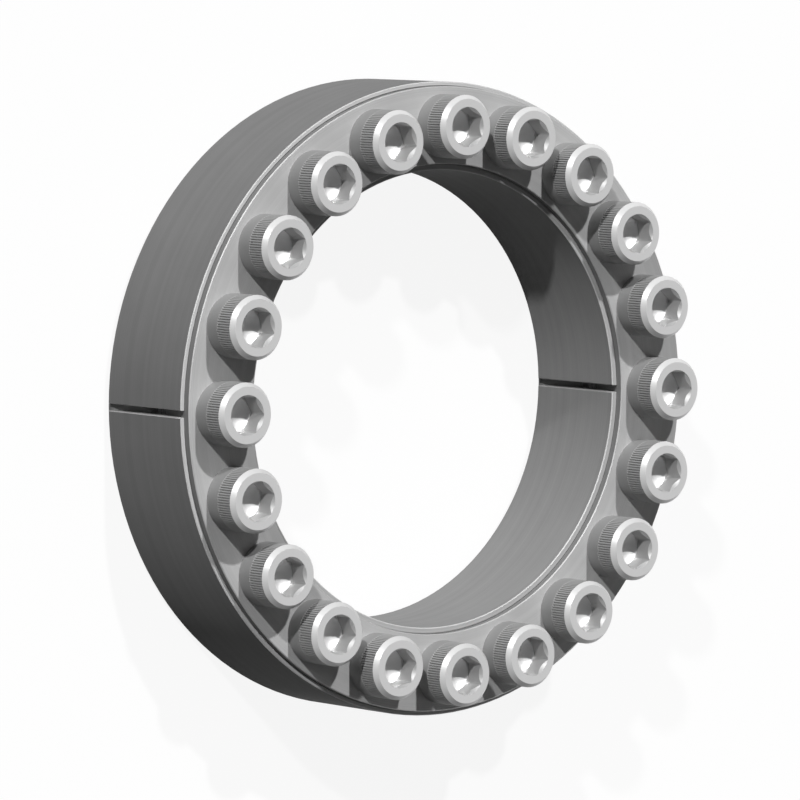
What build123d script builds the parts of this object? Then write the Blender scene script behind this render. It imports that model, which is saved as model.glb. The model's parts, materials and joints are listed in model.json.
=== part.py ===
from build123d import *
import math
import os

# Shaft locking assembly of the double taper kind, for a 130 mm shaft in a 180 mm hub bore.
# It stands on its rear thrust ring, with its axis along +Z and the screw heads on top.
# The slit of the inner ring is on the +X side and the slit of the outer ring on the -X side.
# Two tapered thrust rings are drawn together by the screws. They spread the slit outer ring
# against the hub and close the slit inner ring on the shaft.

# Driving dimensions, in millimetres and degrees

shaft_diameter = 130.0        # bore of the slit inner ring
inner_lip = 1.65              # wall of the inner ring at its thin ends
outer_lip = 1.25              # wall of the outer ring at its thin ends
ring_width = 34.0             # width of the two slit rings
slit_width = 2.0              # one slit in each of them
slit_edge = 0.2               # bevel on the slit's edges in the plain wall
ring_edge = 0.25              # bevel on the slit rings' edges at the plain wall
lip_edge = 0.2                # bevel on their edges at the tapers

thrust_proud = 2.0            # how far each thrust ring stands out past the slit rings
thrust_gap = 6.2              # gap between the two thrust rings, in the middle
taper_rise = 3.65             # how much each taper gains in radius
taper_clearance = 0.08        # running clearance of the tapers, on the radius
hole_wall = 0.9               # mean wall beside a screw hole at a thrust ring's narrow end
thrust_edge = 0.25            # bevel on the edges of the thrust rings

screw_count = 20
screw_circle_shift = -0.2     # from the middle of the thrust rings' wall out to the screw circle
screw_diameter = 12.0         # thread M12
screw_length = 35.0           # below the head
hole_clearance = 0.5          # round the screw in the front thrust ring, on the radius
thread_clearance = 0.06       # round the screw in the tapped rear thrust ring, on the radius
hole_edge = 0.5               # bevel of the holes' mouths in the outer faces
inner_hole_edge = 0.2         # bevel of their mouths at the narrow ends
tip_bevel = 1.2               # bevel on the screw's tip

head_diameter = 18.0
head_height = 12.0
head_bevel_width = 1.1        # bevel round the top of the head, on the radius
head_bevel_height = 1.3       # the same bevel along the axis
head_foot_edge = 0.3          # small bevel at the foot of the head
socket_width = 10.0           # hexagon socket, across flats
socket_depth = 6.0            # down to where the drill cone starts
socket_mouth_edge = 0.2       # countersink past the corners of the socket, on the radius
drill_point_angle = 120.0     # whole angle of the cone at the bottom of the socket

# Radii, from the shaft outward

bore_radius = shaft_diameter / 2
thrust_inner_radius = bore_radius + inner_lip
front_hole_radius = screw_diameter / 2 + hole_clearance
narrow_wall = 2 * (front_hole_radius + hole_wall)
thrust_outer_radius = thrust_inner_radius + narrow_wall + 2 * taper_rise
hub_radius = thrust_outer_radius + outer_lip
screw_circle_radius = (thrust_inner_radius + thrust_outer_radius) / 2 + screw_circle_shift
rear_hole_radius = screw_diameter / 2 + thread_clearance

# Levels, from the rear face upward

total_width = ring_width + 2 * thrust_proud
rings_bottom = thrust_proud
rings_top = rings_bottom + ring_width
thrust_width = (total_width - thrust_gap) / 2
rear_thrust_top = thrust_width
front_thrust_bottom = thrust_width + thrust_gap
tip_level = total_width - screw_length
head_top = total_width + head_height

# Along the tapers

taper_length = thrust_width - thrust_proud
lip_edge_rise = taper_rise * lip_edge / taper_length    # gained by the taper along the lip's bevel


def ring_of(points):
    """Turn a closed profile of (radius, height) points round the Z axis."""
    profile = Plane.XZ * make_face(Polyline(*points, close=True))
    return revolve(profile, Axis.Z)


def cut_slit(ring, plain_radius, outward):
    """Cut the one slit of a spring ring, on the +X side, and bevel its edges in the plain wall.

    The plain wall stands at plain_radius and faces outward (1) or inward (-1).
    """
    reach = hub_radius + ring_width
    slot = Pos(reach / 2, 0, total_width / 2) * Box(reach, slit_width, 2 * total_width)
    narrow = slit_width / 2
    wide = narrow + 2 * slit_edge
    mouth = make_face(Polyline(
        (plain_radius - outward * slit_edge, -narrow),
        (plain_radius + outward * slit_edge, -wide),
        (plain_radius + outward * slit_edge, wide),
        (plain_radius - outward * slit_edge, narrow),
        close=True,
    ))
    return ring - slot - extrude(mouth, total_width, dir=(0, 0, 1))


def make_outer_ring():
    """Outer ring: plain outside, thickest in the middle, with a taper to each thin end."""
    middle_radius = thrust_outer_radius - taper_rise
    ring = ring_of([
        (hub_radius - ring_edge, rings_bottom),
        (hub_radius, rings_bottom + ring_edge),
        (hub_radius, rings_top - ring_edge),
        (hub_radius - ring_edge, rings_top),
        (thrust_outer_radius + lip_edge, rings_top),
        (thrust_outer_radius - lip_edge_rise, rings_top - lip_edge),
        (middle_radius, front_thrust_bottom),
        (middle_radius, rear_thrust_top),
        (thrust_outer_radius - lip_edge_rise, rings_bottom + lip_edge),
        (thrust_outer_radius + lip_edge, rings_bottom),
    ])
    return Rot(0, 0, 180) * cut_slit(ring, hub_radius, 1)


def make_inner_ring():
    """Inner ring: plain bore, thickest in the middle, with a taper to each thin end."""
    middle_radius = thrust_inner_radius + taper_rise
    ring = ring_of([
        (bore_radius + ring_edge, rings_bottom),
        (thrust_inner_radius - lip_edge, rings_bottom),
        (thrust_inner_radius + lip_edge_rise, rings_bottom + lip_edge),
        (middle_radius, rear_thrust_top),
        (middle_radius, front_thrust_bottom),
        (thrust_inner_radius + lip_edge_rise, rings_top - lip_edge),
        (thrust_inner_radius - lip_edge, rings_top),
        (bore_radius + ring_edge, rings_top),
        (bore_radius, rings_top - ring_edge),
        (bore_radius, rings_bottom + ring_edge),
    ])
    return cut_slit(ring, bore_radius, -1)


def thrust_profile(face_level, taper_level, narrow_level):
    """Profile of a thrust ring, from its outer face to where its tapers start and end."""
    inward = math.copysign(thrust_edge, narrow_level - face_level)
    wide_inner = thrust_inner_radius + taper_clearance
    wide_outer = thrust_outer_radius - taper_clearance
    return [
        (wide_inner + thrust_edge, face_level),
        (wide_inner, face_level + inward),
        (wide_inner, taper_level),
        (wide_inner + taper_rise, narrow_level),
        (wide_outer - taper_rise, narrow_level),
        (wide_outer, taper_level),
        (wide_outer, face_level + inward),
        (wide_outer - thrust_edge, face_level),
    ]


def bevelled_hole(radius, face_level, narrow_level):
    """The body to cut for a screw's through hole, with a bevel at both mouths."""
    inward = math.copysign(1, narrow_level - face_level)
    return ring_of([
        (0, face_level),
        (radius + hole_edge, face_level),
        (radius, face_level + inward * hole_edge),
        (radius, narrow_level - inward * inner_hole_edge),
        (radius + inner_hole_edge, narrow_level),
        (0, narrow_level),
    ])


def screw_places():
    """Places of the screws on their circle, clockwise from the +Y side, each turned with it."""
    step = 360 / screw_count
    return [
        Rot(0, 0, 90 - index * step) * Pos(screw_circle_radius, 0, 0)
        for index in range(screw_count)
    ]


def make_front_thrust_ring():
    """Front thrust ring: unslit, tapered on both sides, with clearance holes for the screws."""
    ring = ring_of(thrust_profile(total_width, rings_top, front_thrust_bottom))
    hole = bevelled_hole(front_hole_radius, total_width, front_thrust_bottom)
    return ring - [place * hole for place in screw_places()]


def make_rear_thrust_ring():
    """Rear thrust ring: the front ring's mirror form, with a tapped hole for each screw."""
    ring = ring_of(thrust_profile(0, rings_bottom, rear_thrust_top))
    hole = bevelled_hole(rear_hole_radius, 0, rear_thrust_top)
    return ring - [place * hole for place in screw_places()]


def make_socket():
    """The body to cut for a hexagon socket with a countersunk mouth and a drilled bottom."""
    corner_radius = socket_width / math.sqrt(3)
    mouth_radius = corner_radius + socket_mouth_edge
    floor_level = head_top - socket_depth
    hexagon = Plane.XY.offset(floor_level) * RegularPolygon(corner_radius, 6)
    walls = extrude(hexagon, socket_depth)
    cone_radius = socket_width / 2
    cone_depth = cone_radius / math.tan(math.radians(drill_point_angle / 2))
    drill_cone = ring_of([
        (0, floor_level - cone_depth),
        (cone_radius, floor_level),
        (0, floor_level),
    ])
    mouth_depth = mouth_radius - cone_radius
    mouth = ring_of([
        (0, head_top - mouth_depth),
        (cone_radius, head_top - mouth_depth),
        (mouth_radius, head_top),
        (0, head_top),
    ])
    return walls + drill_cone + mouth


def make_screw():
    """Socket head cap screw on the Z axis, seated on the front thrust ring's face."""
    head_radius = head_diameter / 2
    shank_radius = screw_diameter / 2
    blank = ring_of([
        (0, tip_level),
        (shank_radius - tip_bevel, tip_level),
        (shank_radius, tip_level + tip_bevel),
        (shank_radius, total_width),
        (head_radius - head_foot_edge, total_width),
        (head_radius, total_width + head_foot_edge),
        (head_radius, head_top - head_bevel_height),
        (head_radius - head_bevel_width, head_top),
        (0, head_top),
    ])
    return blank - make_socket()


parts = {
    "outer_ring": make_outer_ring(),
    "inner_ring": make_inner_ring(),
    "front_thrust_ring": make_front_thrust_ring(),
    "rear_thrust_ring": make_rear_thrust_ring(),
}
screw = make_screw()
for number, place in enumerate(screw_places(), start=1):
    parts[f"screw_{number:02d}"] = place * screw

os.makedirs("parts", exist_ok=True)
for name, shape in parts.items():
    export_step(shape, f"parts/{name}.step")
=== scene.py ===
# %% [markdown]
# A shaft locking assembly joins a hub to a plain shaft without a key. Twenty screws draw two
# tapered thrust rings together. That spreads the slit outer ring against the hub and closes the
# slit inner ring on the shaft. This lesson dresses the finished solids for a studio picture.
# The four rings keep their solids and get steel finishes. The screws are built again, with the
# knurl and the thread that the plain solids leave out.

# %% Load the part
import json
import math
import bmesh
import bpy
from mathutils import Matrix, Vector


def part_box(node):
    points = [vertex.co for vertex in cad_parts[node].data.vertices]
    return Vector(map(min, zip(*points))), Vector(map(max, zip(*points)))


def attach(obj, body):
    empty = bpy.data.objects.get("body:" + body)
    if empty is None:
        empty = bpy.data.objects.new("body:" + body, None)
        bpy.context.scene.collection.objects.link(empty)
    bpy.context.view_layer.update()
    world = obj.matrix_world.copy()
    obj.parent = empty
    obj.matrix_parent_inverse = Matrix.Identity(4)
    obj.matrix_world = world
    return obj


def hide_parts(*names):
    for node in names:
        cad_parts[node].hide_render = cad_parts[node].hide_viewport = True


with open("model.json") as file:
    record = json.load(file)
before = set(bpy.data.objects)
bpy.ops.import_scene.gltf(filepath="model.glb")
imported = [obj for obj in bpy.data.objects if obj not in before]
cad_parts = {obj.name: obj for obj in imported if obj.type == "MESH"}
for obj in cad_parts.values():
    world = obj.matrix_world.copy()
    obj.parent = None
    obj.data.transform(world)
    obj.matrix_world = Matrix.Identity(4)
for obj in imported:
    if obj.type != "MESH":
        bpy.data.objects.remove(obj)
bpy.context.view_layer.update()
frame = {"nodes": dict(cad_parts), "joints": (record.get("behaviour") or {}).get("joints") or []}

# %% [markdown]
# Blender counts in metres and the workshop in millimetres, so one value turns the one into the
# other. The levels and the head's radius are read from the loaded solids, so that the new
# screws fit them. The screws' places come from their joints, which stand on the screw circle.

# %% Sizes read from the solids
MM = 0.001
face_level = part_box("front_thrust_ring")[1].z
first_low, first_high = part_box("screw_01")
tip_level = first_low.z
head_top = first_high.z
head_radius = (first_high.x - first_low.x) / 2
screw_joints = [joint for joint in frame["joints"] if joint["name"].startswith("screw_")]
print("head radius", round(head_radius / MM, 2), "mm, head height",
      round((head_top - face_level) / MM, 2), "mm, screws", len(screw_joints))

# %% [markdown]
# The photograph is taken with a long lens from the left of the screw side, so the rings look
# almost like a drawing. The assembly lies on its rear face here, so the camera starts straight
# above it with +Y up in the picture. Then it swings to the left about the picture's upright and
# a little upward. Its two small offsets put the middle of the bore where the photograph has it.
# The angles are in degrees. They were fitted to the outlines of the rings and the screw heads.

# %% Camera
SWING_LEFT = 38.21
TILT_UP = 4.38
ROLL = -0.02
DISTANCE = 1893 * MM
PIXELS_PER_MM = 3.4794
OFFSET_RIGHT = -10.61 * MM
OFFSET_UP = 2.28 * MM
AIM_LEVEL = 2 * MM
PICTURE_PIXELS = 800
SENSOR_MM = 36.0
FARTHEST_SEEN = 100.0

turn = (
    Matrix.Rotation(math.radians(ROLL), 3, "Z")
    @ Matrix.Rotation(math.radians(TILT_UP), 3, "X")
    @ Matrix.Rotation(math.radians(SWING_LEFT), 3, "Y")
)
axes = turn.transposed()
focal_pixels = PIXELS_PER_MM * DISTANCE / MM
camera_data = bpy.data.cameras.new("camera")
camera_data.sensor_width = SENSOR_MM
camera_data.lens = focal_pixels / PICTURE_PIXELS * SENSOR_MM
camera_data.clip_end = FARTHEST_SEEN
camera = bpy.data.objects.new("camera", camera_data)
bpy.context.scene.collection.objects.link(camera)
camera_place = axes @ Vector((-OFFSET_RIGHT, -OFFSET_UP, DISTANCE)) + Vector((0, 0, AIM_LEVEL))
camera.matrix_world = Matrix.Translation(camera_place) @ axes.to_4x4()
bpy.context.scene.camera = camera
print("lens", round(camera_data.lens), "mm at", round(camera_place.length, 2), "m")

# %% [markdown]
# Two lamps light the metal. The shadows of the screw heads in the photograph tell where they
# stand: one shines from the twelve o'clock side, halfway up, and one from half past ten, lower.
# A weak third one skims in from four o'clock. The photograph's camera sees little of it, and
# thanks to it the far side isn't black when the part is looked at from there. Area lamps would
# do too, but their light fades across the part. A sun's light is even. A dim grey room fills
# the rest.

# %% Lamps and room
# In degrees: clock goes against the clock from three o'clock, height is above the floor, and
# softness is how wide the lamp looks. Strength is in watts per square metre.
LAMPS = {
    "lamp_twelve": {"clock": 90.0, "height": 48.6, "strength": 2.15, "softness": 2.0},
    "lamp_half_past_ten": {"clock": 135.0, "height": 33.0, "strength": 2.0, "softness": 2.0},
    "fill_four": {"clock": 335.0, "height": 2.0, "strength": 1.2, "softness": 4.0},
}
ROOM_GREY = 0.09

for lamp_name, lamp in LAMPS.items():
    light = bpy.data.lights.new(lamp_name, "SUN")
    light.energy = lamp["strength"]
    light.angle = math.radians(lamp["softness"])
    around = math.radians(lamp["clock"])
    up = math.radians(lamp["height"])
    towards = Vector((math.cos(up) * math.cos(around), math.cos(up) * math.sin(around), math.sin(up)))
    lamp_object = bpy.data.objects.new(lamp_name, light)
    lamp_object.matrix_world = towards.to_track_quat("Z", "Y").to_matrix().to_4x4()
    bpy.context.scene.collection.objects.link(lamp_object)

world = bpy.data.worlds.new("studio")
world.use_nodes = True
world.node_tree.nodes["Background"].inputs["Color"].default_value = (ROOM_GREY, ROOM_GREY, ROOM_GREY, 1)
bpy.context.scene.world = world
bpy.context.scene.view_settings.view_transform = "Standard"
print("lamps:", len(LAMPS))

# %% [markdown]
# Colours are written as a painter's hex values and turned to Blender's linear light by one
# function. A second small function adds a shader node with its settings and links, so that each
# finish below reads as a short recipe. It calls a socket by its label. Sockets that share one
# label, such as the two of a sum, are called by their number.

# %% Helpers for finishes
FACTOR = 0
COLOUR_A = 6
COLOUR_B = 7
MIXED_COLOUR = 2


def linear(hex_colour):
    """Turn a colour such as #8c8c8c to Blender's linear red, green, blue and alpha."""
    parts = [int(hex_colour[i:i + 2], 16) / 255 for i in (1, 3, 5)]
    return [c / 12.92 if c <= 0.04045 else ((c + 0.055) / 1.055) ** 2.4 for c in parts] + [1.0]


def add(tree, kind, inputs=None, **settings):
    """Add a shader node. Each input is a plain value or the output of another node."""
    node = tree.nodes.new(kind)
    for setting, value in settings.items():
        setattr(node, setting, value)
    for socket, value in (inputs or {}).items():
        if isinstance(value, bpy.types.NodeSocket):
            tree.links.new(value, node.inputs[socket])
        else:
            node.inputs[socket].default_value = value
    return node


def new_finish(name):
    """Make an empty node material and return it with its node tree."""
    finish = bpy.data.materials.new(name)
    finish.use_nodes = True
    finish.node_tree.nodes.clear()
    return finish, finish.node_tree


print("a middle grey, #808080, is", round(linear("#808080")[0], 3), "in linear light")

# %% [markdown]
# The floor is white paper. The camera and the metal see it glow a little, which lifts the part's
# shadow to a faint grey, as on a light table. The light that it sends up onto the part is held
# back to that of grey card, because the photograph's undersides are dark. From below the paper
# is clear, so that the back of the part can be looked at. It lies a hair under the part, so that
# the two surfaces don't share one level.

# %% Paper for the floor
FLOOR_LIFT = 0.9

floor_finish, tree = new_finish("white_studio_floor")
ray = add(tree, "ShaderNodeLightPath")
seen = add(tree, "ShaderNodeMath", {0: ray.outputs["Is Camera Ray"], 1: ray.outputs["Is Glossy Ray"]},
           operation="MAXIMUM")
seen = add(tree, "ShaderNodeMath", {0: seen.outputs[0], 1: ray.outputs["Is Transmission Ray"]},
           operation="MAXIMUM")
lift = add(tree, "ShaderNodeMath", {0: seen.outputs[0], 1: FLOOR_LIFT}, operation="MULTIPLY")
card = add(tree, "ShaderNodeMix",
           {FACTOR: seen.outputs[0], COLOUR_A: linear("#646464"), COLOUR_B: linear("#f8f8f8")},
           data_type="RGBA")
paper = add(tree, "ShaderNodeBsdfDiffuse", {"Color": card.outputs[MIXED_COLOUR]})
glow = add(tree, "ShaderNodeEmission", {"Color": linear("#ffffff"), "Strength": 1.0})
mixed = add(tree, "ShaderNodeMixShader", {0: lift.outputs[0], 1: paper.outputs[0], 2: glow.outputs[0]})
side = add(tree, "ShaderNodeNewGeometry")
below = add(tree, "ShaderNodeMath", {0: side.outputs["Backfacing"], 1: ray.outputs["Is Camera Ray"]},
            operation="MULTIPLY")
clear = add(tree, "ShaderNodeBsdfTransparent")
mixed = add(tree, "ShaderNodeMixShader", {0: below.outputs[0], 1: mixed.outputs[0], 2: clear.outputs[0]})
add(tree, "ShaderNodeOutputMaterial", {"Surface": mixed.outputs[0]})

# %% Floor
FLOOR_SIZE = 30.0
FLOOR_LEVEL = -0.02 * MM

bpy.ops.mesh.primitive_plane_add(size=FLOOR_SIZE, location=(0, 0, FLOOR_LEVEL))
floor = bpy.context.object
floor.name = "floor"
floor.data.materials.append(floor_finish)
print("floor:", FLOOR_SIZE, "m wide")

# %% [markdown]
# The rings show four kinds of surface. Their round walls are painted darker and their end faces
# lighter: painted shade and painted light, as lamps from above give them. The broken edges
# between them are a painted highlight on the inner ring, a little darker than the faces on the
# thrust rings, and like the faces on the outer ring. The slits' walls get the end faces' lighter
# colour, painted light in the slits' shade. The four could be painted face by face, but masks
# find them from the solids alone. How much a surface faces along the axis tells walls, end faces
# and 45 degree bevels apart. The slits' walls are the only surfaces near the X axis that face
# sideways.

# %% Masks for the kinds of surface
WALL_UNTIL = 0.35
FACE_FROM = 0.65
EDGE_FACING = math.cos(math.radians(45.0))
EDGE_SPREAD = 0.15
SLIT_REACH = 1.4 * MM
SLIT_FACING = 0.5


def upright(tree, where):
    """How much a surface faces up or down the axis, from 0 to 1."""
    normal = add(tree, "ShaderNodeSeparateXYZ", {"Vector": where.outputs["Normal"]})
    return add(tree, "ShaderNodeMath", {0: normal.outputs["Z"]}, operation="ABSOLUTE")


def facing_axis(tree, where):
    """0 on the round walls and 1 on the end faces and their bevels."""
    facing = upright(tree, where)
    return add(tree, "ShaderNodeMapRange",
               {"Value": facing.outputs[0], "From Min": WALL_UNTIL, "From Max": FACE_FROM})


def broken_edge(tree, where):
    """1 on the 45 degree bevels and 0 elsewhere."""
    facing = upright(tree, where)
    return add(tree, "ShaderNodeMath", {0: facing.outputs[0], 1: EDGE_FACING, 2: EDGE_SPREAD},
               operation="COMPARE")


def slit_walls(tree, where, split):
    """1 on the walls and edges of a slit and 0 elsewhere."""
    normal = add(tree, "ShaderNodeSeparateXYZ", {"Vector": where.outputs["Normal"]})
    sideways = add(tree, "ShaderNodeMath", {0: normal.outputs["Y"]}, operation="ABSOLUTE")
    sideways = add(tree, "ShaderNodeMath", {0: sideways.outputs[0], 1: SLIT_FACING},
                   operation="GREATER_THAN")
    off_axis = add(tree, "ShaderNodeMath", {0: split.outputs["Y"]}, operation="ABSOLUTE")
    near = add(tree, "ShaderNodeMath", {0: off_axis.outputs[0], 1: SLIT_REACH}, operation="LESS_THAN")
    return add(tree, "ShaderNodeMath", {0: sideways.outputs[0], 1: near.outputs[0]}, operation="MULTIPLY")


# %% [markdown]
# The rings are turned on a lathe, whose tool leaves fine round grooves. Along the bore and the
# outside they lie one beside the other down the axis, and on the end faces they are circles.
# Radius plus height changes across both kinds of surface, so one coordinate draws them all.
# Grooves cut into the mesh would take millions of faces, and an image would need unwrapping, so
# a noise along that coordinate draws them. A fine feed leaves 0.1 to 0.2 mm between grooves.
# Here it is 0.35 mm, as coarse as it needs to be to show. Wider bands come from the tool's
# wear, and soft stains from the oil.

# %% Marks of the turning tool
FEED_MM = 0.35
BAND_MM = 3.0
STAIN_MM = 14.0
NOISE_SUM = (1.0, 2.0)
TONE_RANGE = (0.93, 1.07)


def turning_marks(tree, where, split):
    """The grooves, and a tone that varies a little with grooves, bands and stains."""
    flat = add(tree, "ShaderNodeCombineXYZ", {"X": split.outputs["X"], "Y": split.outputs["Y"]})
    radius = add(tree, "ShaderNodeVectorMath", {0: flat.outputs[0]}, operation="LENGTH")
    across = add(tree, "ShaderNodeMath", {0: radius.outputs["Value"], 1: split.outputs["Z"]})
    grooves = add(tree, "ShaderNodeTexNoise",
                  {"W": across.outputs[0], "Scale": 1 / (FEED_MM * MM), "Detail": 2.0},
                  noise_dimensions="1D")
    bands = add(tree, "ShaderNodeTexNoise",
                {"W": across.outputs[0], "Scale": 1 / (BAND_MM * MM), "Detail": 1.0},
                noise_dimensions="1D")
    stains = add(tree, "ShaderNodeTexNoise",
                 {"Vector": where.outputs["Object"], "Scale": 1 / (STAIN_MM * MM), "Detail": 3.0})
    total = add(tree, "ShaderNodeMath", {0: grooves.outputs[0], 1: bands.outputs[0]})
    total = add(tree, "ShaderNodeMath", {0: total.outputs[0], 1: stains.outputs[0]})
    tone = add(tree, "ShaderNodeMapRange",
               {"Value": total.outputs[0], "From Min": NOISE_SUM[0], "From Max": NOISE_SUM[1],
                "To Min": TONE_RANGE[0], "To Max": TONE_RANGE[1]})
    return grooves, tone


# %% [markdown]
# The finish puts masks and marks together. Clean turned steel would be all metal and mirror the
# room. The oil film and the fine grooves scatter the light, and the photograph's rings hardly
# mirror anything. So the metallic share is close to none on the round walls and below a half on
# the end faces, and the steel is rough. Pairs of values are for the walls and the faces.

# %% Turned steel
GROOVE_STRENGTH = 0.12
GROOVE_DEPTH = 0.01 * MM
OILED_SHINE = 0.03


def turned_steel(name, wall_colour, face_colour, edge_colour, metallic, roughness):
    """Steel with the round grooves of a turning tool, painted shade on the walls and painted light on the
    faces and slits.
    """
    finish, tree = new_finish(name)
    where = add(tree, "ShaderNodeTexCoord")
    split = add(tree, "ShaderNodeSeparateXYZ", {"Vector": where.outputs["Object"]})
    grooves, tone = turning_marks(tree, where, split)
    face = facing_axis(tree, where)
    # Painted light: the slits' walls and edges get the end faces' lighter colour, which lifts the shade
    # inside the slits.
    slit = slit_walls(tree, where, split)
    edge = broken_edge(tree, where)
    # Painted shade and light: the round walls get the darker colour, the end faces and slit walls the
    # lighter one.
    face_or_slit = add(tree, "ShaderNodeMath", {0: face.outputs[0], 1: slit.outputs[0]}, operation="MAXIMUM")
    colour = add(tree, "ShaderNodeMix",
                 {FACTOR: face_or_slit.outputs[0], COLOUR_A: linear(wall_colour), COLOUR_B: linear(face_colour)},
                 data_type="RGBA")
    # Painted highlight: the bevels get the edge colour, lighter than the faces on the inner ring and a
    # little darker on the thrust rings.
    colour = add(tree, "ShaderNodeMix",
                 {FACTOR: edge.outputs[0], COLOUR_A: colour.outputs[MIXED_COLOUR],
                  COLOUR_B: linear(edge_colour)}, data_type="RGBA")
    colour = add(tree, "ShaderNodeMix",
                 {FACTOR: 1.0, COLOUR_A: colour.outputs[MIXED_COLOUR], COLOUR_B: tone.outputs[0]},
                 data_type="RGBA", blend_type="MULTIPLY")
    metal = add(tree, "ShaderNodeMapRange",
                {"Value": face_or_slit.outputs[0], "To Min": metallic[0], "To Max": metallic[1]})
    rough = add(tree, "ShaderNodeMapRange",
                {"Value": face_or_slit.outputs[0], "To Min": roughness[0], "To Max": roughness[1]})
    bump = add(tree, "ShaderNodeBump",
               {"Height": grooves.outputs[0], "Strength": GROOVE_STRENGTH, "Distance": GROOVE_DEPTH})
    steel = add(tree, "ShaderNodeBsdfPrincipled",
                {"Base Color": colour.outputs[MIXED_COLOUR], "Metallic": metal.outputs[0],
                 "Roughness": rough.outputs[0], "Specular IOR Level": OILED_SHINE,
                 "Normal": bump.outputs[0]})
    add(tree, "ShaderNodeOutputMaterial", {"Surface": steel.outputs[0]})
    return finish


# %% Finishes of the four rings
# Colours are for walls, faces and bevels: painted shade on the walls, painted light on the faces, and a
# painted highlight on the inner ring's bevels.
FINISHES = {
    "outer_ring": turned_steel("steel_painted_light_outer_ring", "#858585", "#c6c6c6", "#c6c6c6",
                               metallic=(0.02, 0.1), roughness=(0.7, 0.5)),
    "inner_ring": turned_steel("steel_painted_light_inner_ring", "#979797", "#b2b2b2", "#cccccc",
                               metallic=(0.02, 0.1), roughness=(0.7, 0.5)),
    "front_thrust_ring": turned_steel("steel_painted_light_front", "#858585", "#cacaca", "#c0c0c0",
                                      metallic=(0.02, 0.45), roughness=(0.7, 0.6)),
    "rear_thrust_ring": turned_steel("steel_painted_light_rear", "#858585", "#cacaca", "#c0c0c0",
                                     metallic=(0.02, 0.45), roughness=(0.7, 0.6)),
}
for node_name, finish in FINISHES.items():
    node = frame["nodes"][node_name]
    node.data.materials.clear()
    node.data.materials.append(finish)
print("rings with a finish:", len(FINISHES))

# %% [markdown]
# A socket head cap screw starts as a forged blank. Its head is turned, and its upper half is
# knurled so that fingers grip it. It could be cut from cylinders with Boolean modifiers, but so
# fine a knurl leaves them full of slivers. Here the whole screw is one closed skin: rings of
# points from the bottom of the socket, over the rim and down the side, to the tip. A ring need
# not be round, which gives the hexagon and the knurl. Every ring has the same columns. Their
# number divides by six, so that the hexagon's corners fall on columns.

# %% Head sizes
KNURL_RIDGES = 78
KNURL_SHARES = (0.0, 0.0, 1.0, 0.0)
HEAD_COLUMNS = KNURL_RIDGES * len(KNURL_SHARES)
KNURL_DEPTH = 0.36 * MM
KNURL_FADE = 0.3 * MM
SMOOTH_FOOT = 4.9 * MM
RIM_BEVEL_WIDTH = 1.1 * MM
RIM_BEVEL_HEIGHT = 1.3 * MM
FOOT_EDGE = 0.3 * MM
SOCKET_WIDTH = 10.0 * MM
SOCKET_DEPTH = 6.0 * MM
SOCKET_CORNER = 5.65 * MM
MOUTH_SLOPE = math.radians(58.0)
DRILL_RADIUS = 4.97 * MM
DRILL_POINT = math.radians(120.0)


def hexagon(angle):
    """Radius of the socket's wall, with a corner at angle 0 that the punch leaves a little blunt."""
    sixth = math.pi / 3
    return min(SOCKET_WIDTH / 2 / math.cos(angle % sixth - sixth / 2), SOCKET_CORNER)


def knurl(angle):
    """Radius of the knurled side: flat ridges with a V-shaped groove between each two."""
    steps = len(KNURL_SHARES)
    step = round(angle / (2 * math.pi) * KNURL_RIDGES * steps) % steps
    return head_radius - KNURL_DEPTH * KNURL_SHARES[step]


print("columns round the head:", HEAD_COLUMNS)

# %% [markdown]
# The head's outline is a list of rings, each with a radius and a height. Going from the socket's
# drilled bottom, it passes the hexagon's walls, the countersunk mouth, the flat and the rim's
# bevel. The knurl fades in and out at both its ends, as the roller leaves it.

# %% Outline of the head


def head_rows():
    """Rings of the head from the drilled bottom of the socket to the seat, as radius and height."""
    floor_level = head_top - SOCKET_DEPTH
    knurl_top = head_top - RIM_BEVEL_HEIGHT
    knurl_foot = face_level + SMOOTH_FOOT
    steepness = math.tan(MOUTH_SLOPE)
    return [
        lambda a: (DRILL_RADIUS, floor_level),
        lambda a: (hexagon(a), floor_level),
        lambda a: (hexagon(a), head_top - (SOCKET_CORNER - hexagon(a)) * steepness),
        lambda a: (SOCKET_CORNER, head_top),
        lambda a: (head_radius - RIM_BEVEL_WIDTH, head_top),
        lambda a: (head_radius, knurl_top),
        lambda a: (knurl(a), knurl_top - KNURL_FADE),
        lambda a: (knurl(a), knurl_foot + KNURL_FADE),
        lambda a: (head_radius, knurl_foot),
        lambda a: (head_radius, face_level + FOOT_EDGE),
        lambda a: (head_radius - FOOT_EDGE, face_level),
    ]


print("rings in the head:", len(head_rows()))

# %% [markdown]
# The shank gets a rolled M12 thread with a pitch of 1.75 mm. Blender's Screw modifier winds such
# a thread too, but it leaves both ends open. A thread is a helix, so its rings of points climb
# by one pitch in a turn, and the end of each ring meets the start of the ring one thread above.
# Rings that would climb past the neck or dip below the tip are held there. Merging the points
# that fall together leaves a clean run-out at both ends.

# %% Outline of the thread
PITCH = 1.75 * MM
THREAD_RADIUS = 6.0 * MM
THREAD_COLUMNS = HEAD_COLUMNS // 4
PLAIN_NECK = 1.5 * MM
TIP_BEVEL = 1.2 * MM
# Depth of a 60 degree outside thread with a pitch of one
DEPTH_OF_PITCH = 0.6134
THREAD_DEPTH = DEPTH_OF_PITCH * PITCH
# Place along the pitch and share of the depth: the root, a flank, a blunt crest and a flank back
THREAD_PROFILE = [(0.0, 0.0), (0.25, 0.0), (0.5625, 1.0), (0.6875, 1.0)]


def thread_radius(level, share):
    """Radius on the thread, with the bevel at the tip."""
    radius = THREAD_RADIUS - THREAD_DEPTH * (1 - share)
    bevel = THREAD_RADIUS - TIP_BEVEL + (level - tip_level)
    return min(radius, bevel)


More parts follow.
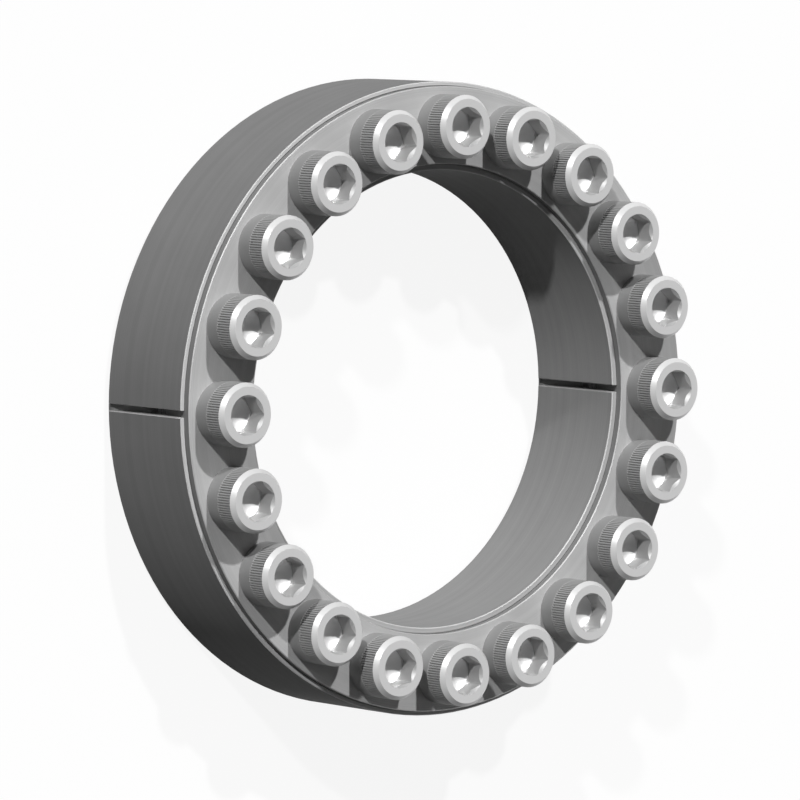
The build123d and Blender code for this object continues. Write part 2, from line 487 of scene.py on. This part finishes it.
def thread_point(column, row):
    """Radius and height of one point of the thread's skin."""
    turn_number, step = divmod(row, len(THREAD_PROFILE))
    along, share = THREAD_PROFILE[step]
    level = tip_level + PITCH * (turn_number - 1 + along + column / THREAD_COLUMNS)
    neck = face_level - PLAIN_NECK
    if level <= tip_level:
        return THREAD_RADIUS - TIP_BEVEL, tip_level
    if level >= neck:
        return THREAD_RADIUS - THREAD_DEPTH / 2, neck
    return thread_radius(level, share), level


print("thread depth", round(THREAD_DEPTH / MM, 2), "mm, turns",
      round((face_level - PLAIN_NECK - tip_level) / PITCH, 1))

# %% [markdown]
# Four small helpers lay the skin: one places a ring of points, one bridges two rings with faces,
# one closes a ring towards a point on the axis, and one winds the thread. At the seat the head
# has four columns for each column of the shank, so the faces there have five points outside
# and two inside.

# %% Helpers for the skin


def round_point(radius, angle, level):
    """A point given by its distance from the axis, its angle round it and its height."""
    return (radius * math.cos(angle), radius * math.sin(angle), level)


def add_ring(points, columns, outline):
    """Add a ring of points and return the number of its first one."""
    first = len(points)
    for column in range(columns):
        angle = 2 * math.pi * column / columns
        radius, level = outline(angle)
        points.append(round_point(radius, angle, level))
    return first


def bridge(faces, low, high, columns):
    """Join two rings of points with faces."""
    for column in range(columns):
        after = (column + 1) % columns
        faces.append((low + column, high + column, high + after, low + after))


def cap(points, faces, ring, level, columns):
    """Close a ring of points towards a point on the axis."""
    points.append((0, 0, level))
    middle = len(points) - 1
    for column in range(columns):
        faces.append((middle, ring + column, ring + (column + 1) % columns))


def join_seat(faces, seat, collar):
    """Join the ring of the head's seat to the coarser ring round the shank."""
    finer = HEAD_COLUMNS // THREAD_COLUMNS
    for column in range(THREAD_COLUMNS):
        after = (column + 1) % THREAD_COLUMNS
        outside = [seat + (column * finer + k) % HEAD_COLUMNS for k in range(finer + 1)]
        faces.append(tuple([collar + after, collar + column] + outside))


# %% Winding the thread


def add_thread(points, faces):
    """Wind the thread from the tip to the neck. Returns the numbers of its first and last ring."""
    turns = math.ceil((face_level - PLAIN_NECK - tip_level) / PITCH) + 1
    row_count = turns * len(THREAD_PROFILE) + 1
    start = len(points)
    for row in range(row_count):
        for column in range(THREAD_COLUMNS):
            angle = 2 * math.pi * column / THREAD_COLUMNS
            radius, level = thread_point(column, row)
            points.append(round_point(radius, angle, level))

    def corner(row, column):
        """The end of a ring is the start of the ring one thread above."""
        if column == THREAD_COLUMNS:
            row = min(row + len(THREAD_PROFILE), row_count - 1)
            column = 0
        return start + row * THREAD_COLUMNS + column

    for row in range(row_count - 1):
        for column in range(THREAD_COLUMNS):
            faces.append((corner(row, column), corner(row, column + 1),
                          corner(row + 1, column + 1), corner(row + 1, column)))
    return start, start + (row_count - 1) * THREAD_COLUMNS


# %% [markdown]
# The pieces of skin are laid from the socket to the tip. Then the points that fall together are
# merged and all faces turned outward. Smooth shading rounds the walls, and edges sharper than
# the given angle stay crisp. No edge may be open, so the cell prints how many are.

# %% Screw mesh
SAME_POINT = 0.001 * MM
CRISP_ANGLE = math.radians(28.0)


def make_screw_mesh():
    """One closed skin: socket, head, seat, thread and tip."""
    points = []
    faces = []
    head = [add_ring(points, HEAD_COLUMNS, outline) for outline in head_rows()]
    drill_tip = head_top - SOCKET_DEPTH - DRILL_RADIUS / math.tan(DRILL_POINT / 2)
    cap(points, faces, head[0], drill_tip, HEAD_COLUMNS)
    for low, high in zip(head, head[1:]):
        bridge(faces, low, high, HEAD_COLUMNS)
    collar = add_ring(points, THREAD_COLUMNS, lambda a: (THREAD_RADIUS, face_level))
    join_seat(faces, head[-1], collar)
    thread_start, thread_end = add_thread(points, faces)
    bridge(faces, thread_end, collar, THREAD_COLUMNS)
    cap(points, faces, thread_start, tip_level, THREAD_COLUMNS)
    return points, faces


def solid_mesh(name, points, faces):
    """Merge the points that fall together, turn all faces outward and keep the edges crisp."""
    mesh = bpy.data.meshes.new(name)
    mesh.from_pydata(points, [], faces)
    work = bmesh.new()
    work.from_mesh(mesh)
    bmesh.ops.remove_doubles(work, verts=work.verts, dist=SAME_POINT)
    bmesh.ops.recalc_face_normals(work, faces=work.faces)
    open_edges = sum(1 for edge in work.edges if not edge.is_manifold)
    work.to_mesh(mesh)
    work.free()
    mesh.shade_smooth()
    mesh.set_sharp_from_angle(angle=CRISP_ANGLE)
    print(name, "faces", len(mesh.polygons), "open edges", open_edges)
    return mesh


screw_mesh = solid_mesh("socket_head_screw", *make_screw_mesh())

# %% [markdown]
# The screws are hardened, then zinc plated. The plating is thin and satin, so it shows the light
# grey of zinc with a soft shine. The photograph's screws mirror little of the room, so the
# metallic share is low. Crystals make the plating slightly cloudy. They are far finer than the
# 1.5 mm used here, which is as coarse as it needs to be to show.

# %% Plated steel
CLOUD_MM = 1.5
CLOUD_SPREAD = 0.05


def plated_steel(name, wall_colour, face_colour, metallic, roughness, shine):
    """Satin zinc plating over forged steel, with faint cloudiness."""
    finish, tree = new_finish(name)
    where = add(tree, "ShaderNodeTexCoord")
    clouds = add(tree, "ShaderNodeTexNoise",
                 {"Vector": where.outputs["Object"], "Scale": 1 / (CLOUD_MM * MM), "Detail": 3.0})
    rough = add(tree, "ShaderNodeMapRange",
                {"Value": clouds.outputs[0], "To Min": roughness - CLOUD_SPREAD,
                 "To Max": roughness + CLOUD_SPREAD})
    # Painted shade and light: surfaces that face sideways get the darker wall colour, those that face
    # along the axis the lighter face colour.
    face = facing_axis(tree, where)
    colour = add(tree, "ShaderNodeMix",
                 {FACTOR: face.outputs[0], COLOUR_A: linear(wall_colour), COLOUR_B: linear(face_colour)},
                 data_type="RGBA")
    metal = add(tree, "ShaderNodeMapRange",
                {"Value": face.outputs[0], "To Min": metallic[0], "To Max": metallic[1]})
    steel = add(tree, "ShaderNodeBsdfPrincipled",
                {"Base Color": colour.outputs[MIXED_COLOUR], "Metallic": metal.outputs[0],
                 "Roughness": rough.outputs[0], "Specular IOR Level": shine})
    add(tree, "ShaderNodeOutputMaterial", {"Surface": steel.outputs[0]})
    return finish


# The sides' darker colour is painted shade, the lighter colour of the head's flat and bevel painted
# light.
screw_finish = plated_steel("zinc_plated_screw", "#959595", "#d8d8d8",
                            metallic=(0.1, 0.2), roughness=0.4, shine=0.05)
screw_mesh.materials.append(screw_finish)
print("finish of the screws:", screw_finish.name)

# %% [markdown]
# The socket was punched into the blank, so its walls are smoother than the rest and mirror each
# other. Its colours are also lighter than the rest of the head: painted light that lifts the shade
# in the socket, lightest on the drilled bottom, which faces up. Mirror and paint together make the
# bright and dark fields that the photograph shows. So the socket's faces get a finish of their
# own, picked by where their middle lies.

# %% Punched socket


def paint(mesh, finish, chosen):
    """Give a finish to the faces that a test picks by their middle. Returns how many they are."""
    mesh.materials.append(finish)
    slot = len(mesh.materials) - 1
    picked = [polygon for polygon in mesh.polygons if chosen(polygon.center)]
    for polygon in picked:
        polygon.material_index = slot
    return len(picked)


def in_socket(middle):
    """Whether a face of the screw lies in the socket."""
    return middle.z > face_level and middle.xy.length < SOCKET_CORNER


# Painted light: the socket's walls and drilled bottom get lighter colours than the rest of the head.
socket_finish = plated_steel("zinc_plated_socket", "#b4b4b4", "#f0f0f0",
                             metallic=(0.3, 0.85), roughness=0.45, shine=0.5)
print("socket faces:", paint(screw_mesh, socket_finish, in_socket))

# %% [markdown]
# The knurl is rolled into the head. Its band is painted lighter than the turned foot below it:
# painted light that makes up for the shade in its grooves, so that the band keeps about the
# foot's tone.

# %% Painted light on the knurl


def in_knurl(middle):
    """Whether a face of the screw lies in the knurled band of the head."""
    knurl_low = face_level + SMOOTH_FOOT
    knurl_high = head_top - RIM_BEVEL_HEIGHT
    return knurl_low < middle.z < knurl_high and middle.xy.length > THREAD_RADIUS


# Painted light: a lighter wall colour than the foot's, against the shade in the grooves.
knurl_finish = plated_steel("zinc_plated_knurl", "#a6a6a6", "#d8d8d8",
                            metallic=(0.1, 0.2), roughness=0.4, shine=0.05)
print("knurl faces:", paint(screw_mesh, knurl_finish, in_knurl))

# %% [markdown]
# All twenty screws share the one mesh. Each stands on its joint's axis, turned so that a corner
# of its socket points away from the middle of the ring, as the solids have it. It rides on its
# own body, so it turns and rises with its joint.

# %% Place the screws
screw_places = []
for joint in screw_joints:
    body = joint["child"]
    x, y, _ = joint["pos_m"]
    place = Matrix.Translation((x, y, 0)) @ Matrix.Rotation(math.atan2(y, x), 4, "Z")
    screw = bpy.data.objects.new("knurled_" + body, screw_mesh)
    screw.matrix_world = place
    bpy.context.scene.collection.objects.link(screw)
    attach(screw, body)
    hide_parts(body)
    screw_places.append(place)
print("screws placed:", len(screw_places))

# %% [markdown]
# Behind, each screw runs in a tapped hole of the rear thrust ring. The hole's thread shows where
# the screw's tip stops short of the face. Cutting it into the ring would change the ring's
# solid, so it is a piece of its own: one ridge wound along the hole's wall, midway between the
# turns of the screw's thread, with its back sunk a little into the wall. It fades in and out
# over half a turn, as a tapped thread does.

# %% Sizes of the tapped thread
RIDGE_STEPS = 60
RIDGE_START = 0.5 * MM
WALL_RADIUS = 6.06 * MM
SUNK = 0.05 * MM
RIDGE_REACH = 0.92 * MM
RIDGE_PHASE = 0.125
HALF_TURN = 0.5
# Place along the pitch and share of the ridge's reach
RIDGE_PROFILE = [(-0.42, 0.0), (-0.12, 1.0), (0.12, 1.0), (0.42, 0.0)]


def make_ridge_mesh():
    """The ridge of a tapped hole as one closed coil."""
    top_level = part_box("rear_thrust_ring")[1].z - RIDGE_START
    start_turn = math.ceil((RIDGE_START - tip_level) / PITCH - RIDGE_PHASE)
    first = start_turn + RIDGE_PHASE + HALF_TURN
    turns = (top_level - tip_level) / PITCH - first - HALF_TURN
    steps = int(turns * RIDGE_STEPS)
    fade_steps = RIDGE_STEPS * HALF_TURN
    width = len(RIDGE_PROFILE)
    points = []
    faces = []
    for step in range(steps + 1):
        angle = 2 * math.pi * step / RIDGE_STEPS
        middle = tip_level + PITCH * (first + step / RIDGE_STEPS)
        fade = min(1.0, step / fade_steps, (steps - step) / fade_steps)
        for along, share in RIDGE_PROFILE:
            radius = WALL_RADIUS + SUNK - (RIDGE_REACH + SUNK) * share * fade
            points.append(round_point(radius, angle, middle + PITCH * along))
    for step in range(steps):
        here = step * width
        bridge(faces, here, here + width, width)
    faces.append(tuple(range(width)))
    faces.append(tuple(range(steps * width, (steps + 1) * width)))
    return points, faces


# %% Tapped threads
ridge_mesh = solid_mesh("tapped_thread", *make_ridge_mesh())
ridge_mesh.materials.append(FINISHES["rear_thrust_ring"])
for number, place in enumerate(screw_places, start=1):
    ridge = bpy.data.objects.new(f"tapped_thread_{number:02d}", ridge_mesh)
    ridge.matrix_world = place
    bpy.context.scene.collection.objects.link(ridge)
    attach(ridge, "rear_thrust_ring")
print("tapped threads placed:", len(screw_places))
